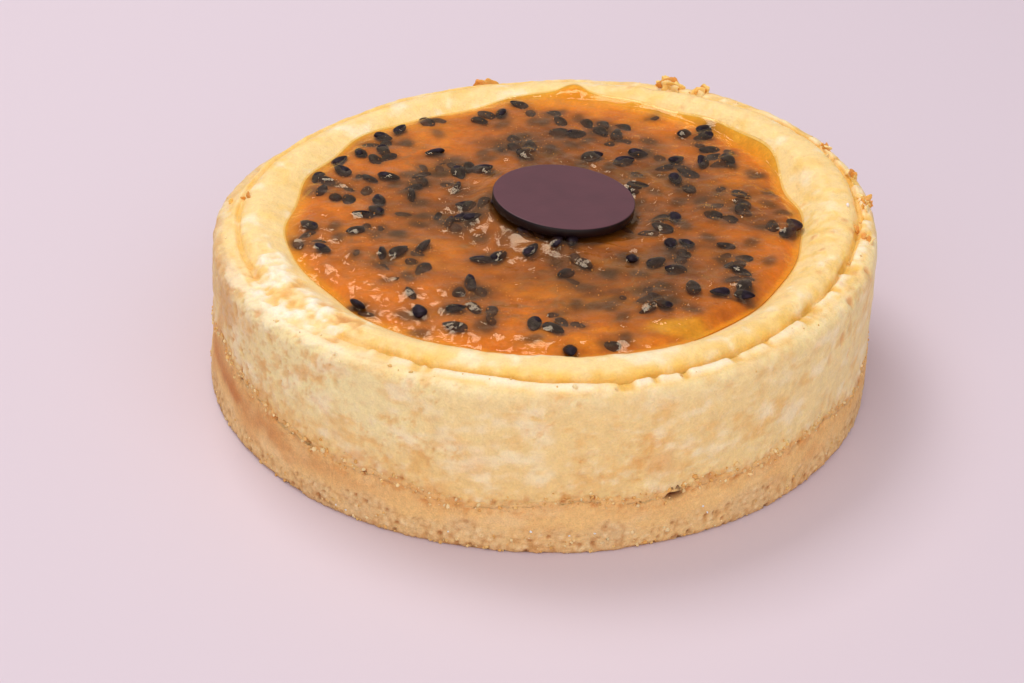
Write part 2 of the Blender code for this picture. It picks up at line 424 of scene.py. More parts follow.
def foodMaterial(name, look):
    # painted tint, broken up by grain, with fine relief from the same grain
    material, tree = newMaterial(name)
    place = placeNode(tree)
    fine = noiseNode(tree, place, look["fineScale"])
    coarse = noiseNode(tree, place, look["coarseScale"])
    fineShade = rangeNode(tree, fine, 1 - look["fineShade"], 1 + look["fineShade"])
    coarseShade = rangeNode(tree, coarse, 1 - look["coarseShade"], 1 + look["coarseShade"])
    relief = mathNode(tree, "ADD", fine, mathNode(tree, "MULTIPLY", coarse, look["coarseRelief"]))
    principledSurface(tree, {
        "Base Color": shadedTint(tree, mathNode(tree, "MULTIPLY", fineShade, coarseShade)),
        "Normal": bumpNode(tree, relief, look["relief"]),
        "Roughness": rangeNode(tree, coarse, look["roughness"] - 0.08, look["roughness"] + 0.08),
        "Subsurface Weight": look["soft"],
        "Subsurface Radius": look["softColour"],
        "Subsurface Scale": look["softReach"] * mm,
        "Specular IOR Level": look["shine"],
    })
    return material


# the lumps that run over both filling and biscuit, and the crumbled seam between them
side = {
    "lumpSizes": (9, 3.4, 1.5),
    "lumpHeights": (0.26, 0.13, 0.06),
    "crumbSize": 1.7,
    "crumbReach": 3.0,  # above and below the seam
    "crumbHeights": (0.6, 0.34),
    "holes": {
        "spacing": 3.4, "seed": 45, "stretch": (1, 1, 1.5),
        "width": 0.38, "ragged": 0.12, "soft": 0.2, "fewer": 0.0,
    },
    "holeReach": 2.2,
    "deepHolePlace": (-68, 13.4),  # azimuth and height of the one deep hole
    "deepHoleSize": (2.6, 2.6, 0.95),
    "deepHoleDepth": 2.3,
    # the deep hole's dark brown is painted shade inside it
    "colours": {"hole": (204, 126, 58), "deepHole": (120, 62, 30)},
}


def sideRelief(points, aboveSeam):
    roughSize, mediumSize, grainSize = side["lumpSizes"]
    rough = layeredNoise(points, roughSize, 1)
    medium = layeredNoise(points, mediumSize, 5)
    grain = layeredNoise(points, grainSize, 9, 2)
    lift = sum(height * noise for height, noise in zip(side["lumpHeights"], (rough, medium, grain)))
    crumble, _ = cellNoise(points, side["crumbSize"], 41)
    nearSeam = np.exp(-((aboveSeam / side["crumbReach"]) ** 2))
    holes = pitted(points, medium, **side["holes"]) * np.exp(-((aboveSeam / side["holeReach"]) ** 2))
    azimuth, height = side["deepHolePlace"]
    away = (points - ringPoints(math.radians(azimuth), cake["radius"], height)) / side["deepHoleSize"]
    away = away + 0.3 * medium[..., None] * (0, 0, 1)
    deepHole = smoothStep(np.exp(-(away**2).sum(axis=-1)), 0.22, 0.6)
    return rough, medium, grain, lift, crumble, nearSeam, holes, deepHole


def seamLift(lift, near, crumble, medium, holes, deepHole, holeDepth):
    # ragged crumbs where filling and biscuit meet
    cells, lumps = side["crumbHeights"]
    lift = lift + near * (cells * (0.5 - crumble) + lumps * medium)
    return lift - holeDepth * holes - side["deepHoleDepth"] * deepHole


filling = {
    "sides": 900,
    "spacing": 0.62,
    "overlap": 0.5,  # the foot reaches down behind the biscuit's edge
    "seed": 11,
    "colours": {
        **side["colours"],
        "cream": (240, 204, 134),
        "creamy": (246, 228, 168),
        "butter": (246, 224, 168),
        "tan": (230, 178, 112),
        "ochre": (232, 178, 96),
        "pale": (250, 229, 182),
        "toasted": (214, 156, 90),
        "crumbly": (226, 166, 84),
        "foot": (226, 172, 106),
        "crumb": (220, 146, 70),
        "baked": (218, 142, 70),
        "rim": (254, 218, 148),
        "rimDeep": (246, 198, 92),
        # deeper yellow: painted shade in the crease, and the bare filling in the notches where the skin is
        # cut
        "skinAndHighlight": (255, 240, 206),
        # pale skin; on the plates of the ledge it is also a painted highlight
        "flap": (255, 238, 198),
        "groove": (232, 180, 74),
        "tornPale": (255, 246, 222),
        "tornGold": (232, 168, 78),
    },
    "sideBlotches": (
        ("ochre", 0.6, 6, 1.5, 0.05, 0.8, 75),
        ("pale", 0.9, 7, 1.7, 0.1, 0.8, 81),
        ("pale", 0.4, 2.6, 2.6, 0.2, 0.9, 83),
    ),
    "topBlotches": (
        ("rimDeep", 0.6, 8, 1, 0.0, 0.85, 85),
        ("skinAndHighlight", 0.65, 6, 1, 0.1, 0.9, 89),
    ),
    # azimuth, height, half width and half height of the tan patches
    "tanPatches": ((-87, 21, 12, 6), (-61, 21, 12, 7), (-40, 20, 8, 6)),
    # where the wear lies round the cake, as swells
    "torn": (-143, 21),  # the skin tore here as the ring came off
    "tornCrease": (-141, 15),
    "tornWidth": 4.6,  # of the edge outside the crease
    "brokenSkin": ((-84, 40, 1.2), (-8, 38, 1), (60, 34, 0.5)),
    "grooveFades": ((178, 18, 0.45), (-36, 24, 0.4)),
    "crumblySide": ((-148, 26, 0.9),),
    "streaked": ((-22, 13, 1), (-150, 16, 0.8), (80, 60, 0.35)),
    "wrinkled": ((-8, 24, 1), (62, 26, 0.6)),
    "creamyAbove": (-128, 30),
    "creamyAll": (-30, 40),
    "toastedSide": ((-172, 16, 1), (120, 60, 0.5)),
    "toastedCorner": (-156, 6),
    "goldenRim": (-84, 60),
    "crackAt": -158,
    "notches": 60,  # cuts between the plates of skin
    "notchWidths": (0.7, 2.4),
    "notchCircle": 84,  # the radius that widths are measured at
    "crackCircle": 82,
    "heights": {"plate": 0.36, "flap": 0.55, "clumps": 0.85, "scales": 0.30},
    "depths": {"crease": 0.6, "notch": 0.45, "pits": 0.36, "streaks": 0.7, "holes": 1.0, "crack": 0.9},
    "pits": {
        "spacing": 1.8, "seed": 31, "stretch": (1, 1, 1.35),
        "width": 0.44, "ragged": 0.1, "soft": 0.22, "fewer": 0.2,
    },
    "streaks": {
        "spacing": 4.6, "seed": 35, "stretch": (1, 1, 0.55),
        "width": 0.34, "ragged": 0.12, "soft": 0.16, "fewer": 0.1,
    },
    "surface": {
        "fineScale": 1700,
        "coarseScale": 420,
        "fineShade": 0.06,
        "coarseShade": 0.06,
        "coarseRelief": 1.6,
        "relief": 0.18,
        "roughness": 0.52,
        "soft": 0.25,
        "softColour": (1.0, 0.62, 0.28),
        "softReach": 2.0,
        "shine": 0.45,
    },
}


def fillingRings(azimuth):
    slumped = swell(azimuth, *cake["slump"])
    crestRadius, crestHeight = crest(azimuth)

    def ledge(inset, drop):
        pull, growth, fall = cake["slumpEdge"]
        height = crestHeight - drop - fall * slumped
        return np.array((sideRadius(azimuth, height) - inset - (pull + growth * inset) * slumped, height))

    def crease(outset, drop):
        inset, faded = cake["slumpCrease"]
        radius = cake["creaseRadius"] + waves(azimuth, cake["creaseWaves"]) + outset - inset * slumped
        settled = smoothStep(radius - crestRadius, 0, 1.2)  # no step where the crease meets the crest
        return np.array((radius, crestHeight - drop * (1 - faded * slumped) * settled))

    def basin(radius):
        return np.array((radius, basinHeight(azimuth, radius)))

    spacing = filling["spacing"]
    foot = seamHeight(azimuth) - filling["overlap"]
    topRadius, top = ledge(*cake["ledgeSteps"][0])
    pulledIn = sideRadius(azimuth, top) - topRadius
    wallCount = round(float((top - foot).mean()) / spacing)
    wall = []
    for share in np.arange(wallCount) / wallCount:
        height = foot + (top - foot) * share
        wall.append(np.array((sideRadius(azimuth, height) - pulledIn * share, height)))
    edges = [ledge(*step) for step in cake["ledgeSteps"]] + [crease(*step) for step in cake["creaseSteps"]]
    peak = np.array((crestRadius, crestHeight))
    over = throughPoints([wall[-1], *edges, peak, basin(crestRadius - 2)], spacing)
    slopeFoot = lobedEdge(azimuth) - 3
    slopeCount = round(float((crestRadius - slopeFoot).mean()) / spacing)
    slopeShares = np.arange(slopeCount + 1) / slopeCount
    slope = [basin(crestRadius + (slopeFoot - crestRadius) * share) for share in slopeShares]
    floor = [basin(slopeFoot * share) for share in (0.93, 0.85, 0.6, 0.3)]
    under = [np.array((wall[0][0] * share, wall[0][1])) for share in (0.5, 0.97)]
    gap = np.hypot(*(np.array(over) - crease(0, cake["creaseSteps"][1][1])).mean(axis=2).T)
    creaseRow = len(under) + len(wall) + int(gap.argmin())
    return under + wall + over + slope + floor, creaseRow, len(under)


def cutNotches(azimuth):
    look = filling
    draw = np.random.default_rng(look["seed"])
    places = draw.uniform(0, 2 * math.pi, look["notches"])
    widths = draw.uniform(*look["notchWidths"], look["notches"])
    notch = np.zeros(len(azimuth))
    for place, width in zip(places, widths):
        away = (azimuth - place + math.pi) % (2 * math.pi) - math.pi
        notch = np.maximum(notch, smoothStep(width - np.abs(away) * look["notchCircle"], -0.9, 0.9))
    return notch


def buildFilling():
    look = filling
    heights, depths = look["heights"], look["depths"]
    azimuth = evenTurns(look["sides"])
    column = azimuth[None, :]
    rings, creaseRow, wallRow = fillingRings(azimuth)
    points = ringGrid(azimuth, rings)
    # where the corner was torn, the top runs straight from its edge to the crest
    tornCrease = swell(column, *look["tornCrease"])
    crestRow = int(np.argmin([np.hypot(*(np.array(ring) - crest(azimuth))).mean() for ring in rings]))
    edgeRow = creaseRow - round(look["tornWidth"] / look["spacing"])
    share = np.linspace(0, 1, crestRow - edgeRow + 1)[:, None, None]
    straight = points[edgeRow] * (1 - share) + points[crestRow] * share
    points[edgeRow : crestRow + 1] += tornCrease[..., None] * (straight - points[edgeRow : crestRow + 1])
    normal = gridNormals(points)
    height = points[..., 2]
    steps = np.linalg.norm(np.diff(points, axis=0), axis=-1)
    along = np.vstack([np.zeros((1, look["sides"])), np.cumsum(steps, axis=0)])
    inward = along - along[creaseRow]  # distance past the crease, below 0 outside it
    onTop = smoothStep(normal[..., 2], 0.35, 0.8)
    onWall = smoothStep(-inward, 3.4, 5.0)
    aboveSeam = height - seamHeight(column)
    rough, medium, grain, lift, crumble, nearSeam, holes, deepHole = sideRelief(points, aboveSeam)
    nearSeam, holes = nearSeam * onWall, holes * onWall
    torn = swell(column, *look["torn"])
    tornHard = smoothStep(torn + 0.35 * medium, 0.35, 0.8)

    # the crease wanders, and the skin outside it is broken into plates
    plan = points * (1, 1, 0)
    wander = 0.55 * softNoise(plan, 5.5, 21) + 0.35 * softNoise(plan, 2.2, 22)
    fromCrease = inward + wander
    fadedCrease = (1 - 0.6 * swell(column, *cake["slump"])) * (1 - tornCrease)
    broken = np.clip(swells(column, look["brokenSkin"]), 0.12, 1) * fadedCrease
    notch = cutNotches(azimuth)[None, :] * smoothStep(fromCrease + 0.8 * medium, -4.6, -2.8)
    notch = notch * smoothStep(-fromCrease, -0.6, 0.4) * broken
    groove = np.exp(-((fromCrease / 0.75) ** 2)) * fadedCrease * (1 - swells(column, look["grooveFades"]))
    plate = smoothStep(-fromCrease, 0.35, 1.0) * smoothStep(fromCrease, -4.6, -2.4) * (1 - notch) * broken
    lift = lift + 0.08 * rough * (1 - onWall)
    lift = lift - depths["crease"] * groove * (1 + 0.5 * medium)
    lift = lift + heights["plate"] * plate - depths["notch"] * notch

    # the side is crumbly in patches, and open with small holes and streaks
    crumbly = smoothStep(layeredNoise(points, 13, 33), -0.1, 0.6) + swells(column, look["crumblySide"])
    crumbly = np.clip(crumbly + 1.2 * nearSeam, 0, 1) * onWall
    pits = pitted(points, medium, **look["pits"]) * crumbly
    lift = lift - depths["pits"] * pits + crumbly * (0.12 * grain + 0.12 * medium)
    streaked = np.clip(swells(column, look["streaked"]), 0, 1)
    streaks = pitted(points, medium, **look["streaks"]) * onWall * streaked
    lift = lift - depths["streaks"] * streaks
    lift = seamLift(lift, nearSeam, crumble, medium, holes, deepHole, depths["holes"])

    # torn corner: lumps on top, a flap of skin folded over the edge, and a crack
    clumps = layeredNoise(points, 3.8, 51)
    tornTop = tornHard * (1 - onWall) * (1 - smoothStep(inward, 7, 13))
    lift = lift + tornTop * (heights["clumps"] * clumps + 0.2 * medium + 0.16 * grain)
    flapEnd = 6.2 + 2.6 * softNoise(plan, 7, 55) + 0.9 * softNoise(plan, 2.4, 56)
    flap = torn * smoothStep(flapEnd + inward, -0.2, 0.35) * smoothStep(-inward, 2.0, 3.6)
    flap = smoothStep(flap, 0.2, 0.7)
    lift = lift + heights["flap"] * flap
    crackLine = np.abs((column - math.radians(look["crackAt"])) * look["crackCircle"] - 0.5 * medium)
    crack = np.exp(-((crackLine / 0.55) ** 2)) * smoothStep(inward, -8, -5) * smoothStep(-inward, -7, -4)
    lift = lift - depths["crack"] * crack

    # wrinkled, flaking skin
    wrinkled = np.clip(swells(column, look["wrinkled"]), 0, 1) * (1 - onWall)
    scales, scaleMark = cellNoise(points, 2.8, 61)
    lift = lift + wrinkled * (heights["scales"] * (0.5 - scales) + 0.16 * scaleMark)

    # under the jelly the top stays smooth, and so do the rings below the side
    edge = lobedEdge(column)
    flat = smoothStep(np.hypot(points[..., 0], points[..., 1]), edge, edge + 2.5)
    lift = lift * np.where(onTop > 0.5, flat, 1)
    lift[:wallRow] = 0
    points = keepInside(points + normal * lift[..., None])

    creamy = swell(column, *look["creamyAbove"]) * smoothStep(height, 18, 30)
    creamy = creamy + 0.5 * swell(column, *look["creamyAll"])
    patches = smoothStep(layeredNoise(points * (1, 1, 1.2), 15, 71) - 0.9 * creamy, -0.05, 0.7)
    for patchAzimuth, patchHeight, wide, tall in look["tanPatches"]:
        sideways = (column - math.radians(patchAzimuth)) * cake["radius"] / wide
        spot = np.exp(-(sideways**2) - ((height - patchHeight) / tall) ** 2)
        patches = np.maximum(patches, 1.35 * smoothStep(spot + 0.3 * medium, 0.2, 0.75))
    underEdge = smoothStep(-inward, 4.2, 6) * smoothStep(inward, -12, -6)
    toastedCorner = 0.9 * swell(column, *look["toastedCorner"]) * smoothStep(height, 24, 34)
    toasted = np.clip(swells(column, look["toastedSide"]) + toastedCorner, 0, 1) * onWall
    foot = smoothStep(2.6 + 1.6 * medium + 0.9 * grain - aboveSeam, 0, 2.4) * onWall
    colour = painted(points, look["colours"], "cream", [
        ("creamy", 0.9 * creamy),
        *blotches(points, look["sideBlotches"]),
        ("tan", 0.75 * patches),
        ("butter", 0.6 * underEdge * smoothStep(rough, -0.8, 0.4)),
        ("toasted", 0.6 * toasted * smoothStep(rough, -0.6, 0.5)),
        ("crumbly", crumbly * (0.55 * smoothStep(-0.6 * medium - grain, 0.1, 0.9) + 0.4 * pits)),
        ("pale", 0.45 * crumbly * smoothStep(medium + 0.6 * grain, 0.3, 1.0)),
        ("baked", 0.7 * streaks),
        ("foot", 0.75 * foot),
        ("crumb", 0.6 * nearSeam * smoothStep(crumble + 0.3 * medium, 0.5, 0.85)),
        ("hole", 0.8 * holes),
        # painted shade inside the deep hole
        ("deepHole", deepHole),
    ])
    golden = smoothStep(inward, -1.5, 0.5) * smoothStep(-inward, -5.5, -1.5)
    golden = golden * swell(column, *look["goldenRim"])
    topColour = painted(points, look["colours"], "rim", [
        *blotches(points, look["topBlotches"]),
        ("rimDeep", 0.5 * smoothStep(-inward, -4.5, -1.0) * smoothStep(medium, -0.5, 0.6)),
        ("rimDeep", 0.85 * golden * smoothStep(medium + 0.4 * rough, -0.9, 0.5)),
        # the plates are painted pale, partly their own skin and partly a painted highlight along the ledge
        ("skinAndHighlight", 0.85 * plate * smoothStep(rough, -0.9, 0.3)),
        # painted shade in the crease, and the bare filling in the notches
        ("groove", 0.85 * groove + 0.8 * notch),
        ("rimDeep", 0.6 * (wrinkled * smoothStep(scales + 0.25 * medium, 0.45, 0.8))),
        ("baked", 0.5 * wrinkled * (scaleMark > 0.7) * smoothStep(0.5 - scales, 0, 0.3)),
        ("tornPale", 0.85 * tornTop * smoothStep(clumps, -0.1, 0.45)),
        ("tornGold", 0.8 * tornTop * smoothStep(-clumps, 0.0, 0.5)),
        ("baked", 0.55 * tornTop * smoothStep(-clumps, 0.5, 0.9) + 0.5 * crack),
    ])
    colour = tinted(colour, topColour, 1 - onWall)
    colour = tinted(colour, linear(*look["colours"]["flap"]), 0.6 * flap)

    ends = ((0, 0, rings[0][1].mean()), (0, 0, cake["basinHeight"]))
    surface = foodMaterial("bakedFilling", look["surface"])
    piece = turnedPiece("bakedFilling", points, ends, colour, linear(*look["colours"]["cream"]), surface)
    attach(piece, "root")
    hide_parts("baked_filling")
    print("filling:", len(rings), "rings")


biscuit = {
    "sides": 1100,
    "spacing": 0.52,
    "overlap": 1.1,  # its ragged top edge laps over the filling
    "footSteps": ((-0.9, 0.0), (-0.45, 0.25), (-0.2, 0.7)),  # outset and height of the rounded foot
    "lapSteps": ((-0.05, 0.5), (0.15, 1.0), (0.8, 1.2), (1.6, 0.6), (3.0, -0.6), (30, -1.5)),  # inset, rise
    "colours": {
        **side["colours"],
        "crust": (240, 196, 128),
        "paleCrust": (246, 212, 156),
        "toasted": (224, 158, 92),
        "band": (202, 126, 66),
        "sandy": (232, 194, 136),
        "grey": (222, 186, 136),
        "gap": (196, 134, 70),
        "grain": (250, 222, 170),
        "pit": (176, 108, 52),
        # painted shade: darker along the bottom edge, where the biscuit meets the floor
        "foot": (176, 112, 58),
        "chip": (140, 84, 40),
        "edge": (232, 180, 112),
        "crumb": (218, 146, 72),
    },
    "blotches": (
        ("paleCrust", 0.6, 10, 1.5, 0, 0.85, 131),
        ("toasted", 0.6, 12, 1.6, 0, 0.8, 135),
    ),
    "sandyHeight": 7.2,  # the crust is worn sandy below here
    "chippedHeight": 1.8,
    "depths": {"pits": 0.5, "chips": 0.6, "holes": 0.9},
    "pits": {
        "spacing": 2.0, "seed": 115, "stretch": (1, 1, 1),
        "width": 0.40, "ragged": 0.1, "soft": 0.2, "fewer": 0.35,
    },
    "chips": {
        "spacing": 1.9, "seed": 117, "stretch": (0.8, 0.8, 0.7),
        "width": 0.46, "ragged": 0.2, "soft": 0.25, "fewer": 0.1,
    },
    "bulge": (-152, 8.5),  # azimuth and height
    "bulgeSize": (5, 2.6),
    "bulgeCircle": 89,
    "bandAzimuths": (-172, -150, -126),  # the dark band slopes down to the right
    "bandHeights": (14.5, 12.4, 10.6),
    "bandWidth": (2.5, 5.6),  # downward and upward
    "bandSwell": (-150, 27),
    "toastedSwell": (-12, 26),
    "surface": {
        "fineScale": 2300,
        "coarseScale": 800,
        "fineShade": 0.10,
        "coarseShade": 0.08,
        "coarseRelief": 1.2,
        "relief": 0.22,
        "roughness": 0.75,
        "soft": 0.12,
        "softColour": (1.0, 0.55, 0.25),
        "softReach": 1.2,
        "shine": 0.3,
    },
}


def biscuitRings(azimuth, seam):
    look = biscuit
    radius = cake["radius"]
    lap = look["overlap"] * (1 + 0.6 * softNoise(ringPoints(azimuth, radius, 0), 3.5, 99))
    rows = round(float(seam.mean()) / look["spacing"])
    rings = [(radius * 0.5, 0), (radius - 1.6, 0)]
    rings += [(radius + outset, height) for outset, height in look["footSteps"]]
    base = look["footSteps"][-1][1]
    for share in np.arange(1, rows + 1) / rows:
        height = base + (seam - base) * share
        rings.append((sideRadius(azimuth, height), height))
    for inset, rise in look["lapSteps"]:
        rings.append((sideRadius(azimuth, seam) - inset, seam + rise * (lap if rise > 0 else 1)))
    return rings


def buildBiscuit():
    look = biscuit
    depths = look["depths"]
    azimuth = evenTurns(look["sides"])
    column = azimuth[None, :]
    seam = seamHeight(azimuth)
    rings = biscuitRings(azimuth, seam)
    points = ringGrid(azimuth, rings)
    normal = gridNormals(points)
    height = points[..., 2]
    below = seam - height

    rough, medium, _, lift, crumble, edge, holes, deepHole = sideRelief(points, -below)
    fine = layeredNoise(points, 1.1, 109, 2)
    crumbs, crumbMark = cellNoise(points, 1.5, 113)
    sandy = smoothStep(look["sandyHeight"] + 2.4 * rough + 0.8 * medium - height, -1.4, 1.8) * (1 - edge)
    lift = lift + sandy * (0.36 * (0.5 - crumbs) + 0.12 * fine)
    pits = pitted(points, fine, **look["pits"]) * sandy
    lowEdge = smoothStep(look["chippedHeight"] + 1.6 * layeredNoise(points, 6, 118, 2) - height, 0, 1.4)
    chips = pitted(points, fine, **look["chips"]) * lowEdge
    lift = lift - depths["pits"] * pits - depths["chips"] * chips
    lift = seamLift(lift, edge, crumble, medium, holes, deepHole, depths["holes"])
    bulgeAzimuth, bulgeHeight = look["bulge"]
    wide, tall = look["bulgeSize"]
    sideways = (column - math.radians(bulgeAzimuth)) * look["bulgeCircle"] / wide
    bulge = np.exp(-(sideways**2) - ((height - bulgeHeight) / tall) ** 2)
    lift = lift + bulge * (0.5 + 0.4 * medium)
    lift[:2] = 0
    points = points + normal * lift[..., None]
    points[:3, :, 2] = 0
    points = keepInside(points)

    turned = column - 2 * math.pi * (column > math.pi)
    level = np.interp(turned, np.radians(look["bandAzimuths"]), look["bandHeights"])
    fromBand = height - level - 0.7 * rough
    down, up = look["bandWidth"]
    band = np.exp(-((fromBand / np.where(fromBand < 0, down, up)) ** 2))
    band = band * swell(column, *look["bandSwell"]) * smoothStep(below, -0.5, 3)
    colour = painted(points, look["colours"], "crust", [
        *blotches(points, look["blotches"]),
        ("band", 0.95 * band * smoothStep(rough, -1.4, 0.2)),
        ("toasted", 0.15 * swell(column, *look["toastedSwell"]) * smoothStep(height, 4, 8)),
        ("sandy", 0.6 * sandy),
        ("grey", 0.5 * sandy * smoothStep(rough, -0.3, 0.6)),
        ("gap", 0.6 * sandy * smoothStep(crumbs, 0.5, 0.85)),
        ("grain", 0.55 * sandy * (crumbMark > 0.4) * smoothStep(0.5 - crumbs, 0, 0.3)),
        ("pit", 0.7 * pits),
        # painted shade along the bottom edge, where the biscuit meets the floor
        ("foot", 0.30 * smoothStep(2.0 - height, 0, 1.8)),
        ("chip", 0.75 * chips),
        ("edge", 0.6 * edge),
        ("crumb", 0.6 * edge * smoothStep(crumble + 0.3 * medium, 0.5, 0.85)),
        ("hole", 0.8 * holes),
        # painted shade inside the deep hole
        ("deepHole", deepHole),
    ])

    ends = ((0, 0, 0), (0, 0, seam.mean() - 1.5))
    surface = foodMaterial("bakedBiscuit", look["surface"])
    piece = turnedPiece("biscuitBase", points, ends, colour, linear(*look["colours"]["crust"]), surface)
    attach(piece, "root")
    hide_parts("biscuit_base")
    print("biscuit:", len(rings), "rings")


def onCircle(turn, radius):
    return radius * math.cos(turn), radius * math.sin(turn)


# the seeds are placed first, because the jelly rises over them
seeds = {
    "length": 6.3,
    "width": 3.7,
    "thickness": 2.0,
    "apart": 3.5,
    "rows": 12,
    "sides": 18,
    "seed": 7,
    # where they gathered: x, y, how many, how far they spread
    "groups": (
        (-49, 41, 8, 8), (-30, 38, 1, 1), (-53, 18, 10, 9), (-44, 6, 4, 6), (-33, 24, 5, 5),
        (-22, 28, 5, 5), (-24, 18, 2, 3), (-35, 13, 2, 4), (-22, -1, 6, 6), (-6, 42, 6, 6),
        (5, 61, 2, 3), (14, 58, 3, 4), (-5, 66, 2, 3), (-16, 62, 3, 4), (33, 62, 2, 3), (45, 48, 5, 5),
        (14, 35, 1, 1), (25, 33, 2, 4), (36, 35, 4, 6), (40, 28, 2, 4), (48, 34, 4, 5), (53, 15, 2, 4),
        (42, 19, 2, 4), (49, 4, 5, 5), (62, -3, 3, 4), (34, -1, 3, 4), (37, -14, 3, 4), (52, -19, 3, 5),
        (50, -26, 2, 3), (39, -36, 1, 1), (49, -38, 5, 5), (23, -22, 1, 1), (11, -24, 2, 3),
        (6, -31, 2, 3), (32, -27, 3, 4), (27, -44, 6, 6), (4, -51, 5, 6), (7, -66, 1, 1),
        (16, -63, 1, 1), (-12, -50, 2, 3), (-22, -56, 1, 1), (-19, -45, 2, 4), (-31, -49, 1, 1),
        (-46, -47, 2, 4), (-20, -36, 3, 4), (-33, -40, 1, 1), (-39, -33, 1, 1), (-32, -26, 2, 3),
        (-40, -23, 2, 3), (-48, -21, 1, 1), (-62, -11, 3, 4), (-57, -17, 2, 3), (-33, -19, 3, 4),
        (-46, -6, 3, 4), (-13, -24, 2, 3), (4, -18, 3, 5), (-5, -11, 3, 4), (24, -6, 2, 3),
        (-34, 58, 2, 4), (-41, 49, 1, 1), (22, 49, 4, 5), (8, 50, 2, 4), (-14, 3, 2, 3), (25, 21, 3, 4),
    ),
    "sunk": (-0.15, 0.35, 1.0),  # below the surface, in the shares that follow
    "sunkShares": (0.40, 0.28, 0.32),
    "rolls": (0.0, 0.6, 1.1),  # how far they lie on their sides, in the shares that follow
    "rollShares": (0.70, 0.20, 0.10),
    "sizes": (0.82, 1.06),
    "deep": 120,  # more of them, sunk so far that they only darken the jelly
    "deepSunk": (2.2, 3.6),
    "deepCircle": 66,
    "dark": (25, 14, 20),
    "pale": (58, 46, 62),
    "murk": (104, 62, 30),
    "clearDepth": 0.5,  # hardly hidden down to here
    "haze": 1.4,  # depth at which the jelly hides about two thirds of a seed
    "raised": 0.58,  # how far the jelly rises over a seed at the surface
    "raisedSpread": 2.2,
    "raisedFade": 0.7,  # the rise fades with depth
    "lifted": 0.52,  # how far the seed itself is lifted
    "roughness": 0.42,
    "shine": 0.1,
    "grainScale": 1500,
    "relief": 0.1,
}


def placeSeeds():
    look = seeds
    draw = np.random.default_rng(look["seed"])
    places = []

    def fits(x, y):
        near = any(math.hypot(x - other[0], y - other[1]) < look["apart"] for other in places)
        inside = math.hypot(x, y) < float(lobedEdge(np.array(math.atan2(y, x)))) - 2.4
        return inside and not near

    for x, y, count, spread in look["groups"]:
        reach = spread * 0.55 if count > 1 else 0.6
        for which in range(count):
            for attempt in range(30):
                newX, newY = x + draw.normal(0, reach), y + draw.normal(0, reach)
                if fits(newX, newY):
                    sunk = draw.choice(look["sunk"], p=look["sunkShares"]) + draw.uniform(-0.1, 0.25)
                    places.append((newX, newY, sunk))
                    break
    deep = []
    while len(deep) < look["deep"]:
        angle, radius = draw.uniform(0, 2 * math.pi), look["deepCircle"] * math.sqrt(draw.uniform())
        deep.append((*onCircle(angle, radius), draw.uniform(*look["deepSunk"])))
    return np.array(places), np.array(deep), draw.uniform(0, math.pi, len(places) + len(deep))


seedPlaces, deepSeeds, seedTurns = placeSeeds()


def seedShape():
    # a flat lens, drawn out to a point at one end; its long way is along X
    rows, sides = seeds["rows"], seeds["sides"]
    length, width, thickness = seeds["length"], seeds["width"], seeds["thickness"]
    points = []
    for row in range(1, rows):
        t = -math.cos(math.pi * row / rows)
        girth = math.sin(math.pi * row / rows) ** 0.9 * (1 - 0.26 * t - 0.12 * max(t, 0) ** 2)
        for step in range(sides):
            turn = 2 * math.pi * step / sides
            across, up = math.cos(turn), math.sin(turn) * abs(math.sin(turn)) ** 0.25
            points.append((t * length / 2, girth * across * width / 2, girth * up * thickness / 2))
    points += [(-length / 2, 0, 0), (length / 2, 0, 0)]
    # its rings run the other way round, so the faces are turned over
    return np.array(points), [(face[0], *face[:0:-1]) for face in turnedFaces(rows - 1, sides)]


def seedMaterial():
    material, tree = newMaterial("passionFruitSeed")
    grain = noiseNode(tree, placeNode(tree), seeds["grainScale"], 2)
    principledSurface(tree, {
        "Base Color": tintNode(tree).outputs["Color"],
        "Normal": bumpNode(tree, grain, seeds["relief"]),
        "Roughness": seeds["roughness"],
        "Specular IOR Level": seeds["shine"],
    })
    return material


def buildSeeds():
    look = seeds
    draw = np.random.default_rng(look["seed"] + 1)
    base, baseFaces = seedShape()
    allPoints, allColours = [], []
    dark, pale, murk = (linear(*look[key]) for key in ("dark", "pale", "murk"))
    for which, (x, y, sunk) in enumerate(seedPlaces):
        size = draw.uniform(*look["sizes"])
        tilt = draw.normal(0, 0.15)
        roll = draw.choice(look["rolls"], p=look["rollShares"]) * draw.choice((-1, 1)) + draw.normal(0, 0.12)
        turn = Matrix.Rotation(seedTurns[which] * 2, 3, "Z")
        turn = turn @ Matrix.Rotation(tilt, 3, "Y") @ Matrix.Rotation(roll, 3, "X")
        dimples = 1 + 0.07 * layeredNoise(base + 40 * which, 1.6, 151, 2)[:, None]
        points = (base * size * dimples) @ np.array(turn).T
        level = float(jellyTop(x, y)) + look["lifted"] * math.exp(-max(sunk, 0) / look["raisedFade"])
        points = points + (x, y, level - sunk - points[:, 2].max())
        surface = jellyTop(points[:, 0], points[:, 1]) + surfaceRipples(points[:, 0], points[:, 1])
        depth = np.maximum(surface - points[:, 2], 0)
        hidden = 1 - np.exp(-np.maximum(depth - look["clearDepth"], 0) / look["haze"])
        grain = layeredNoise(points, 0.8, 155, 2)
        colour = tinted(np.broadcast_to(dark, points.shape), pale, 0.16 + 0.55 * grain)
        allColours.append(tinted(colour, murk * draw.uniform(0.75, 1.1), 0.97 * hidden))
        allPoints.append(points)
    faces = copiedFaces(baseFaces, len(base), len(seedPlaces))
    points, colours = np.vstack(allPoints), np.vstack(allColours)
    piece = makePiece("passionFruitSeeds", points, faces, seedMaterial(), colours)
    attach(piece, "root")
    print("seeds:", len(seedPlaces))


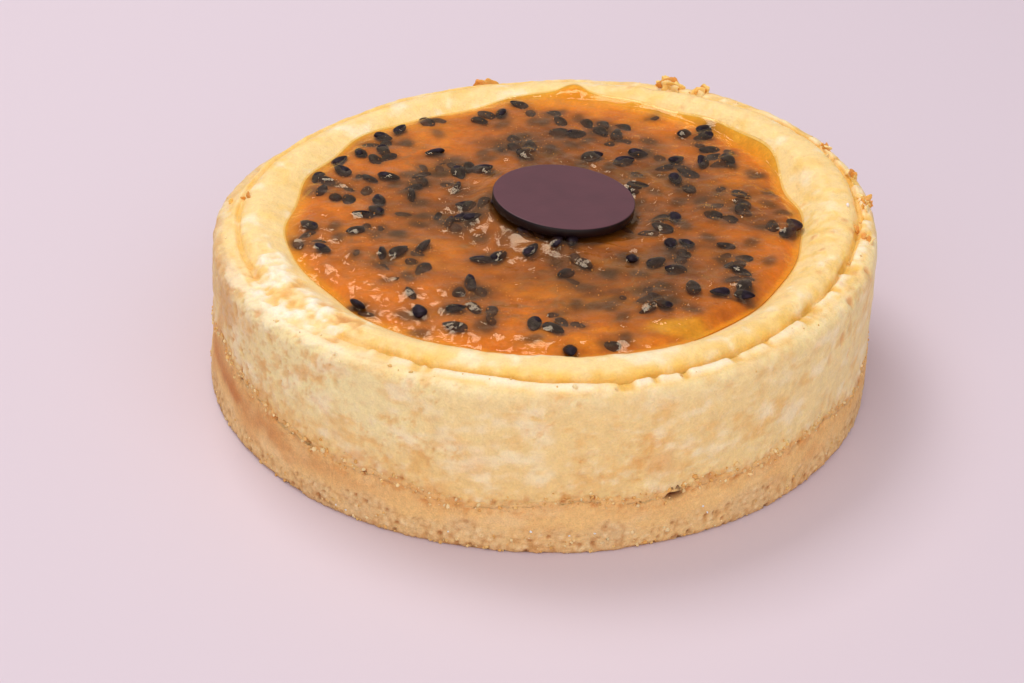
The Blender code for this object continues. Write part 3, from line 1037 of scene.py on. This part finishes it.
# a clear skin of jelly over a cloudy middle
jelly = {
    "skinCells": 300,
    "coreCells": 290,
    "depth": 1.35,  # of clear jelly over the cloudy part
    "rounding": 5.5,  # how far in the surface starts to fall to the edge
    "sink": 0.35,  # into the filling, so that no gap shows
    "coreInset": 0.5,
    "moat": (0.8, 1.5),  # depth and width of the dip round the plaque
    "restless": ((-132, 46, 1), (-52, 16, 0.7), (0, 34, 0.6)),  # where it set unevenly, towards its edge
    "restlessFrom": (38, 58),
    "restlessRing": (28, 8),  # round the plaque: distance and width
    # height of the lumps, how much more where restless, size, seed, layers
    "lumps": ((0.34, 0.50, 9, 141, 3), (0.12, 0.42, 3.6, 145, 2)),
    "colours": {
        "orange": (218, 122, 12),
        "brown": (128, 68, 12),
        "amber": (240, 156, 12),
        "glow": (244, 154, 26),
        "veil": (148, 110, 72),
        # murky brown, also laid on as the painted shadow round the plaque
        "murk": (80, 48, 20),
        "gold": (222, 160, 36),
        "thinEdge": (246, 186, 70),
        "seedShade": (72, 46, 28),
    },
    "brownMiddle": (12, 4),
    "brownReach": (30, 68),
    "goldMiddle": (35, -55),
    "goldSize": (9, 4.5),
    "clear": (0.98, 0.91, 0.70),  # what the skin lets through, in shares of 1
    "wet": (1.0, 0.86, 0.64),
    "wetRoughness": 0.035,
    "wetRelief": 0.36,  # ripples that catch the light
    "wetScale": 500,
    "patchScale": 95,  # patches where the ripples are strongest
    "sparkleScale": 2300,
    "sparkle": 0.12,
    "glance": 1.45,  # refractive index, for its shine at a low angle
    "core": {
        "fineScale": 1300,
        "coarseScale": 260,
        "fineShade": 0.10,
        "coarseShade": 0.10,
        "coarseRelief": 1.0,
        "relief": 0.1,
        "roughness": 0.5,
        "soft": 0.3,
        "softColour": (1.0, 0.35, 0.08),
        "softReach": 1.8,
        "shine": 0.2,
    },
}


def restless(x, y):
    # how unevenly the jelly set, from 0 to 1
    zones = np.clip(swells(np.arctan2(y, x), jelly["restless"]), 0, 1)
    ring, width = jelly["restlessRing"]
    beside = 0.9 * np.exp(-(((fromPlaque(x, y) - ring) / width) ** 2))
    return np.maximum(zones * smoothStep(np.hypot(x, y), *jelly["restlessFrom"]), beside)


def surfaceRipples(x, y):
    # how far the surface departs from its level: soft lumps, and a rise over each seed
    points = np.stack([x, y, 0 * x], axis=-1)
    rough = restless(x, y)
    lift = 0
    for height, more, size, seed, layers in jelly["lumps"]:
        lift = lift + (height + more * rough) * layeredNoise(points, size, seed, layers)
    for seedX, seedY, sunk in seedPlaces:
        height = seeds["raised"] * math.exp(-max(sunk, 0) / seeds["raisedFade"])
        near = (np.abs(x - seedX) < 8) & (np.abs(y - seedY) < 8)
        away = (x[near] - seedX) ** 2 + (y[near] - seedY) ** 2
        lift[near] += height * np.exp(-away / seeds["raisedSpread"] ** 2)
    return lift


def discGrid(cells):
    # a square grid drawn out to a disc: the share of the radius, and the azimuth
    across = np.linspace(-1, 1, cells + 1)
    a, b = np.meshgrid(across, across, indexing="xy")
    big = np.abs(a) > np.abs(b)
    safeA, safeB = np.where(a == 0, 1, a), np.where(b == 0, 1, b)
    share = np.where(big, a, b)
    turn = np.where(big, math.pi / 4 * b / safeA, math.pi / 2 - math.pi / 4 * a / safeB)
    azimuth = np.where(share < 0, turn + math.pi, turn)
    share = np.abs(share)
    return share + 0.5 * np.sin(math.pi * share) / math.pi, azimuth


def jellyGrid(cells, inset=0):
    share, azimuth = discGrid(cells)
    radius = share * (lobedEdge(azimuth) - inset)
    x, y = radius * np.cos(azimuth), radius * np.sin(azimuth)
    foot = basinHeight(azimuth, radius)
    inward = np.clip((lobedEdge(azimuth) - radius) / jelly["rounding"], 0, 1)
    thinned = 0.10 + 0.90 * (1 - (1 - inward) ** 2)  # the jelly thins towards its edge
    return azimuth, radius, x, y, foot, foot + (jellyTop(x, y) - foot) * thinned


def underJelly(radius, azimuth):
    return ringPoints(azimuth, radius, basinHeight(azimuth, radius) - jelly["sink"])


def jellyBody(name, x, y, height, material, colours):
    # closes the grid with rings that follow its rim underneath
    count = len(x)
    top = np.stack([x, y, height], -1).reshape(-1, 3)
    index = np.arange(count * count).reshape(count, count)
    quads = np.stack([index[:-1, :-1], index[:-1, 1:], index[1:, 1:], index[1:, :-1]], axis=-1)
    faces = quads.reshape(-1, 4).tolist()
    rim = np.concatenate([index[0, :-1], index[:-1, -1], index[-1, :0:-1], index[:0:-1, 0]])
    sides = len(rim)
    rimX, rimY, _ = top[rim].T
    points = [top]
    ring, start = rim.tolist(), count * count
    for share in (1.0, 0.95, 0.85, 0.5):
        points.append(underJelly(np.hypot(rimX, rimY) * share, np.arctan2(rimY, rimX)))
        below = list(range(start, start + sides))
        for i in range(sides):
            j = (i + 1) % sides
            faces.append((ring[j], ring[i], below[i], below[j]))
        ring, start = below, start + sides
    points.append(underJelly(np.zeros(1), np.zeros(1)))
    faces += [(ring[(i + 1) % sides], ring[i], start) for i in range(sides)]
    allPoints = np.vstack(points)
    colours = colours.reshape(-1, 3)
    tail = np.broadcast_to(colours.mean(axis=0), (len(allPoints) - count * count, 3))
    return makePiece(name, allPoints, faces, material, np.vstack([colours, tail]))


def wetMaterial():
    # clear and wet: what lies under it shows through, and lamps and sky glint on it
    look = jelly
    material, tree = newMaterial("wetJelly")
    place = placeNode(tree)
    patchy = rangeNode(tree, noiseNode(tree, place, look["patchScale"]), 0.15, 1.0, 0.46, 0.62)
    patchy = mathNode(tree, "MAXIMUM", patchy, tintNode(tree).outputs["Fac"])
    sparkle = noiseNode(tree, place, look["sparkleScale"], 2)
    sparkle = mathNode(tree, "MULTIPLY", sparkle, look["sparkle"])
    relief = mathNode(tree, "ADD", noiseNode(tree, place, look["wetScale"], 2, 0.5), sparkle)
    bump = bumpNode(tree, relief, look["wetRelief"], patchy)
    wetValues = {"Color": (*look["wet"], 1), "Roughness": look["wetRoughness"], "Normal": bump}
    wet = addNode(tree, "BsdfGlossy", wetValues).outputs["BSDF"]
    clear = addNode(tree, "BsdfTransparent", {"Color": (*look["clear"], 1)}).outputs["BSDF"]
    glance = addNode(tree, "Fresnel", {"IOR": look["glance"], "Normal": bump}).outputs["Fac"]
    front = mathNode(tree, "SUBTRACT", 1.0, addNode(tree, "NewGeometry").outputs["Backfacing"])
    mix = addNode(tree, "MixShader", {"Fac": mathNode(tree, "MULTIPLY", glance, front), 1: clear, 2: wet})
    addNode(tree, "OutputMaterial", {"Surface": mix.outputs["Shader"]})
    return material


def buildJellySkin():
    azimuth, radius, x, y, foot, top = jellyGrid(jelly["skinCells"])
    away = fromPlaque(x, y) - plaque["radius"]
    moatDepth, moatWidth = jelly["moat"]
    ripples = surfaceRipples(x, y) * smoothStep(lobedEdge(azimuth) - radius, 0, 2.2)
    moat = moatDepth * np.exp(-((away / moatWidth) ** 2))
    top = np.maximum(top + ripples * smoothStep(away, -1, 2.5) - moat, foot + 0.1)
    top = np.where(away < 0.8, np.minimum(top, plaqueUnderside(x, y) - 0.05), top)
    uneven = np.repeat(restless(x, y)[..., None], 3, axis=-1)
    piece = jellyBody("passionFruitJelly", x, y, top, wetMaterial(), uneven)
    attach(piece, "root")
    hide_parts("passion_fruit_jelly")


def buildCloudyJelly():
    look = jelly
    _, radius, x, y, foot, top = jellyGrid(look["coreCells"], look["coreInset"])
    thick = np.maximum(top - foot, 0)
    points = np.stack([x, y, 0 * x], -1)
    depth = look["depth"] * (1 + 0.3 * layeredNoise(points, 4.5, 161))
    height = top - np.minimum(depth, 0.5 * thick)

    brownX, brownY = look["brownMiddle"]
    middle = 1 - smoothStep(np.hypot(x - brownX, y - brownY), *look["brownReach"])
    cloud = layeredNoise(points, 15, 165, 4)
    drawnOut = points * (0.6, 1, 1) + 2.6 * np.stack([cloud, -cloud, cloud], -1)
    blotch = layeredNoise(drawnOut, 7, 169, 3)
    glow = smoothStep(layeredNoise(drawnOut, 9, 173), 0.1, 0.9)
    murk = smoothStep(layeredNoise(drawnOut, 6.5, 177), 0.25, 0.95)
    wisps = np.clip(1 - np.abs(layeredNoise(drawnOut, 8, 181, 4)) / 0.16, 0, 1)
    wispZone = smoothStep(layeredNoise(points, 18, 187, 2), -0.35, 0.5) * smoothStep(radius, 66, 50)
    (goldX, goldY), (goldWide, goldTall) = look["goldMiddle"], look["goldSize"]
    gold = np.exp(-(((x - goldX) / goldWide) ** 2) - ((y - goldY) / goldTall) ** 2)
    colour = painted(points, look["colours"], "orange", [
        ("brown", 0.82 * middle + 0.42 * cloud + 0.30 * blotch),
        ("glow", 0.6 * glow * (1 - 0.7 * middle)),
        ("murk", 0.55 * murk * smoothStep(radius, 64, 44)),
        ("veil", 0.65 * wisps * wispZone),
        ("amber", 0.85 * (1 - smoothStep(thick, 0.9, 3.9))),
        # painted shadow: the jelly darkens in a ring under the plaque's edge, partly the plaque's shadow and
        # partly the seeds gathered under it
        ("murk", 0.8 * smoothStep(plaque["radius"] + 3 - fromPlaque(x, y), 0, 3)),
        ("gold", 0.9 * smoothStep(gold + 0.25 * cloud, 0.25, 0.85)),
        ("thinEdge", 0.6 * (1 - smoothStep(thick, 0.2, 1.0))),
    ])
    # each seed shades the jelly round it
    murk, shade = (linear(*look["colours"][key]) for key in ("murk", "seedShade"))
    shallowest = seeds["deepSunk"][0]
    for which, (seedX, seedY, sunk) in enumerate(np.vstack([deepSeeds, seedPlaces])):
        near = (np.abs(x - seedX) < 9) & (np.abs(y - seedY) < 9)
        awayX, awayY = x[near] - seedX, y[near] - seedY
        turn = seedTurns[(which - len(deepSeeds)) % len(seedTurns)] * 2
        alongX, alongY = math.cos(turn), math.sin(turn)
        right = awayX * alongX + awayY * alongY
        up = -awayX * alongY + awayY * alongX
        halo = np.exp(-((right / 4.6) ** 2) - (up / 3.6) ** 2)
        spot = np.exp(-(((right / 3.0) ** 2 + (up / 1.9) ** 2) ** 1.8))
        strength = 0.85 - 0.16 * (sunk - shallowest) if which < len(deepSeeds) else 0.6
        colour[near] = tinted(tinted(colour[near], murk, 0.34 * halo), shade, strength * spot)
    piece = jellyBody("cloudyJelly", x, y, height, foodMaterial("cloudyJelly", look["core"]), colour)
    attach(piece, "root")
    print("jelly made")


def chocolateMaterial():
    material, tree = newMaterial("darkChocolate")
    place = placeNode(tree)
    cloud = noiseNode(tree, place, plaque["cloudScale"], 4)
    grain = noiseNode(tree, place, plaque["grainScale"])
    principledSurface(tree, {
        "Base Color": shadedTint(tree, rangeNode(tree, cloud, *plaque["shades"])),
        "Normal": bumpNode(tree, grain, plaque["relief"]),
        "Roughness": rangeNode(tree, cloud, *plaque["roughness"]),
        "Specular IOR Level": plaque["shine"],
    })
    return material


def buildPlaque():
    look = plaque
    half, rounding = look["thickness"] / 2, look["rounding"]
    outline = [(look["radius"] * share, -half) for share in (0.4, 0.8)]
    for turn in np.linspace(-math.pi / 2, math.pi / 2, 9):
        if turn != 0:
            out, up = rounding * math.cos(turn), rounding * math.sin(turn)
            outline.append((look["radius"] - rounding + out, (half - rounding) * np.sign(turn) + up))
    outline += [(look["radius"] * share, half) for share in (0.96, 0.8, 0.55, 0.3)]
    azimuth = evenTurns(look["sides"])
    points = ringGrid(azimuth, outline)
    points[..., 2] += 0.03 * layeredNoise(points, 14, 181, 2) * (points[..., 2] > 0)
    points = np.vstack([points.reshape(-1, 3), ((0, 0, -half), (0, 0, half))])
    # the top face takes the lighter colour with its painted reflection, and the rounded edge and side take
    # the near-black painted shade
    colour = painted(points, look, "side", [("top", smoothStep(points[:, 2], half - 0.10, half - 0.02))])
    slopeX, slopeY = look["slope"]
    normal = Vector((-slopeX, -slopeY, 1)).normalized()
    tilt = np.array(Vector((0, 0, 1)).rotation_difference(normal).to_matrix())
    points = points @ tilt.T + look["centre"]
    faces = turnedFaces(len(outline), look["sides"])
    piece = makePiece("chocolatePlaque", points, faces, chocolateMaterial(), colour)
    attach(piece, "root")
    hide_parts("chocolate_plaque")
    print("plaque made")


studio = {
    "floor": (219, 205, 213),
    "floorReach": 3.0,
    "floorRoughness": 0.7,
    "sky": (0.80, 0.75, 0.82),
    "skyStrength": 0.54,
    "lamps": {  # place, size and power
        "key": ((-0.32, 0.42, 1.02), 0.52, 6.0),
        "fill": ((0.08, -0.95, 0.72), 2.3, 14.4),
    },
    "lampColour": (1.0, 0.97, 0.95),
    "lampAim": (0, 0, 0.03),
    "lens": 80.9,
    "sensor": 36,
    "clip": 0.01,
    "elevation": 32.8,
    "roll": 1.3,
    "distance": 0.6386,
    "shift": (0.00708, -0.00344),  # of the cake's middle off the view's axis, in metres
}


def buildStudio():
    look = studio
    scene = bpy.context.scene
    mesh = bpy.data.meshes.new("floor")
    reach = look["floorReach"]
    corners = [(x * reach, y * reach, 0) for x, y in ((-1, -1), (1, -1), (1, 1), (-1, 1))]
    mesh.from_pydata(corners, [], [(0, 1, 2, 3)])
    floor = bpy.data.objects.new("floor", mesh)
    scene.collection.objects.link(floor)
    material, tree = newMaterial("paleFloor")
    floorColour = (*linear(*look["floor"]), 1)
    principledSurface(tree, {"Base Color": floorColour, "Roughness": look["floorRoughness"]})
    mesh.materials.append(material)

    world = bpy.data.worlds.new("softSky")
    scene.world = world
    world.use_nodes = True
    background = world.node_tree.nodes["Background"]
    background.inputs["Color"].default_value = (*look["sky"], 1)
    background.inputs["Strength"].default_value = look["skyStrength"]

    for name, (place, size, power) in look["lamps"].items():
        lamp = bpy.data.lights.new(name, "AREA")
        lamp.size = size
        lamp.energy = power
        lamp.color = look["lampColour"]
        holder = bpy.data.objects.new(name, lamp)
        holder.location = place
        aim = Vector(look["lampAim"]) - holder.location
        holder.rotation_euler = aim.to_track_quat("-Z", "Y").to_euler()
        scene.collection.objects.link(holder)

    elevation, roll = math.radians(look["elevation"]), math.radians(look["roll"])
    back = Vector((0, -math.cos(elevation), math.sin(elevation)))
    right = Vector((1, 0, 0))
    up = back.cross(right)
    across = math.cos(roll) * right + math.sin(roll) * up
    upward = -math.sin(roll) * right + math.cos(roll) * up
    place = back * look["distance"] - across * look["shift"][0] - upward * look["shift"][1]
    lens = bpy.data.cameras.new("camera")
    lens.lens = look["lens"]
    lens.sensor_width = look["sensor"]
    lens.clip_start = look["clip"]
    camera = bpy.data.objects.new("camera", lens)
    camera.matrix_world = Matrix.Translation(place) @ Matrix((across, upward, back)).transposed().to_4x4()
    scene.collection.objects.link(camera)
    scene.camera = camera
    scene.view_settings.view_transform = "Standard"
    print("floor, light and camera set")


# browned flakes on the rim, crumbs, grains of sugar, and bubbles in the jelly
scraps = {
    "seed": 31,
    # azimuth, radius, spread round the rim in degrees, how many, size
    "flakes": (
        (64, 85.5, 2.6, 11, 5.4), (57.5, 85.5, 1.0, 6, 4.8), (101.5, 85.5, 1.7, 8, 5.0),
        (108, 85.5, 1.6, 3, 3.4), (24, 87, 1.4, 4, 3.2), (13, 87, 1.4, 5, 3.2), (3, 86.5, 2.4, 9, 3.6),
        (-9, 85, 3.0, 6, 2.4), (147, 82, 1.4, 4, 2.2), (175, 82, 1.6, 3, 2.2),
    ),
    "shades": (0.88, 1.08),  # each scrap's own
    "flakeColours": ((246, 184, 94), (250, 202, 114), (228, 152, 66), (255, 220, 152)),
    "seamCrumbs": 700,
    "footCrumbs": 420,
    "rimCrumbs": 50,
    "rimCircle": (85, 1.5),  # radius and spread
    "crumbSize": (0.4, 1.2),
    "crumbColours": ((244, 208, 146), (238, 192, 120), (232, 176, 100), (248, 220, 164)),
    # azimuth and height of grains of sugar left on the side
    "sugar": (
        (-124, 2.2), (-122, 2.0), (-91, 6.8), (-85, 5.6), (-81, 5.9), (-63, 8.6), (-62, 6.0), (-104, 4.4),
    ),
    "sugarSize": 0.75,
    "sugarColour": (0.9, 0.88, 0.84),  # near white, in shares of 1
    "rimSugar": (81.3, 0.8),  # x and y of one bigger grain on the rim
    "rimSugarSize": (1.3, 1.1, 0.9),
    "rimSugarColour": (0.92, 0.90, 0.86),
    "bubbles": 1700,
    "bubblesBySeeds": 0.55,  # their share
    "bubbleCircle": 68,
    "bubbleSize": (0.17, 0.38),
    "bubbleSunk": (0.35, 0.9),
    "bubbleColour": (226, 154, 80),
    "dropFrom": 60,  # height from which the top is searched for
}


def surfaceFinder(names):
    # gives the nearest hit among the named pieces along a line, as place and normal in millimetres
    graph = bpy.context.evaluated_depsgraph_get()
    trees = [BVHTree.FromObject(bpy.data.objects[name], graph) for name in names]

    def find(start, direction):
        found = [tree.ray_cast(Vector(start) * mm, Vector(direction)) for tree in trees]
        found = [hit for hit in found if hit[0] is not None]
        if not found:
            return None, None
        place, normal = min(found, key=lambda hit: hit[3])[:2]
        return np.array(place) / mm, np.array(normal)

    return find


def lumpShape(subdivisions=2, boxy=1.0):
    lump = bmesh.new()
    bmesh.ops.create_icosphere(lump, subdivisions=subdivisions, radius=0.5)
    points = np.array([vertex.co for vertex in lump.verts])
    points = np.sign(points) * np.abs(2 * points) ** boxy / 2
    faces = [[vertex.index for vertex in face.verts] for face in lump.faces]
    lump.free()
    return points, faces


def joinScraps(name, shape, parts, material):
    # parts are (place, turning matrix, size along each way, colour, seed for its lumps)
    base, baseFaces = shape
    allPoints, allColours = [], []
    for place, turn, size, colour, seed in parts:
        lumps = 1 + 0.45 * layeredNoise(base + 3.1 * seed, 0.5, 201, 2)[:, None]
        allPoints.append((base * lumps * size) @ np.array(turn).T + place)
        allColours.append(np.broadcast_to(colour, base.shape))
    faces = copiedFaces(baseFaces, len(base), len(parts))
    piece = makePiece(name, keepInside(np.vstack(allPoints)), faces, material, np.vstack(allColours))
    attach(piece, "root")
    print(name + ":", len(parts))
    return piece


def anyTurn(draw):
    return Euler(draw.uniform(0, 2 * math.pi, 3)).to_matrix()


def anyShare(draw, limits, power):
    small, big = limits
    return small + (big - small) * draw.uniform() ** power


def buildScraps():
    look = scraps
    draw = np.random.default_rng(look["seed"])
    find = surfaceFinder(("bakedFilling", "biscuitBase"))

    def fromAbove(x, y):
        return find((x, y, look["dropFrom"]), (0, 0, -1))

    def fromSide(azimuth, height):
        out = np.array((math.cos(azimuth), math.sin(azimuth), 0))
        return find(out * (cake["radius"] + 20) + (0, 0, height), -out)

    def pick(colours):
        return linear(*colours[draw.integers(len(colours))]) * draw.uniform(*look["shades"])

    # torn sheets that stand along the rim
    flakes = []
    for azimuth, radius, spread, count, size in look["flakes"]:
        for which in range(count):
            turn = math.radians(azimuth + draw.normal(0, spread * 0.5))
            place, normal = fromAbove(*onCircle(turn, radius + draw.normal(0, 1.0)))
            if place is None:
                continue
            long = size * draw.uniform(0.5, 1.0)
            wide = (long, long * draw.uniform(0.22, 0.36), long * draw.uniform(0.5, 0.8))
            lean = (draw.normal(0, 0.4), draw.normal(0, 0.35), turn + math.pi / 2 + draw.normal(0, 0.5))
            place = place + (0, 0, wide[2] * draw.uniform(0.1, 0.32))
            colour = pick(look["flakeColours"])
            flakes.append((place, Euler(lean).to_matrix(), wide, colour, which + 40 * len(flakes)))
    browned = foodMaterial("browned", {**filling["surface"], "roughness": 0.6})
    piece = joinScraps("rimFlakes", lumpShape(4, 0.6), flakes, browned)

    spots = []
    for which in range(look["seamCrumbs"]):
        turn = draw.uniform(0, 2 * math.pi)
        spots.append(fromSide(turn, float(seamHeight(np.array(turn))) + draw.normal(0.6, 1.1)))
    for which in range(look["footCrumbs"]):
        spots.append(fromSide(draw.uniform(0, 2 * math.pi), 0.5 + 5 * draw.uniform() ** 2))
    for which in range(look["rimCrumbs"]):
        spots.append(fromAbove(*onCircle(draw.uniform(0, 2 * math.pi), draw.normal(*look["rimCircle"]))))
    crumbs = []
    for place, normal in spots:
        if place is None:
            continue
        size = anyShare(draw, look["crumbSize"], 2.2)
        wide = size * draw.uniform(0.6, 1.2, 3)
        place = place + normal * 0.12 * size
        crumbs.append((place, anyTurn(draw), wide, pick(look["crumbColours"]), len(crumbs)))
    piece = joinScraps("crumbs", lumpShape(), crumbs, foodMaterial("crumb", biscuit["surface"]))

    grains = []
    for azimuth, height in look["sugar"]:
        place, normal = fromSide(math.radians(azimuth), height)
        size = look["sugarSize"] * draw.uniform(0.8, 1.2)
        wide = (size, size * 0.8, size * 0.7)
        grains.append((place + normal * 0.2 * size, anyTurn(draw), wide, look["sugarColour"], 7))
    place, normal = fromAbove(*look["rimSugar"])
    grains.append((place + normal * 0.3, anyTurn(draw), look["rimSugarSize"], look["rimSugarColour"], 9))
    sugar = foodMaterial("sugar", {**biscuit["surface"], "roughness": 0.35})
    joinScraps("sugarGrains", lumpShape(), grains, sugar)

    bubbles = []
    while len(bubbles) < look["bubbles"]:
        if draw.uniform() < look["bubblesBySeeds"]:
            spot = seedPlaces[draw.integers(len(seedPlaces))][:2] + draw.normal(0, 3.2, 2)
        else:
            turn = draw.uniform(0, 2 * math.pi)
            spot = np.array(onCircle(turn, look["bubbleCircle"] * math.sqrt(draw.uniform())))
        edge = float(lobedEdge(np.array(math.atan2(spot[1], spot[0]))))
        if fromPlaque(*spot) < plaque["radius"] + 1 or math.hypot(*spot) > edge - 4:
            continue
        size = anyShare(draw, look["bubbleSize"], 2)
        level = float(jellyTop(*spot) + surfaceRipples(*spot[:, None])[0])
        level = level - draw.uniform(*look["bubbleSunk"])
        place = np.array((*spot, level))
        bubbles.append((place, anyTurn(draw), size, linear(*look["bubbleColour"]), len(bubbles)))
    piece = joinScraps("jellyBubbles", lumpShape(1), bubbles, foodMaterial("bubble", biscuit["surface"]))


buildStudio()
buildBiscuit()
buildFilling()
buildSeeds()
buildJellySkin()
buildCloudyJelly()
buildPlaque()
buildScraps()
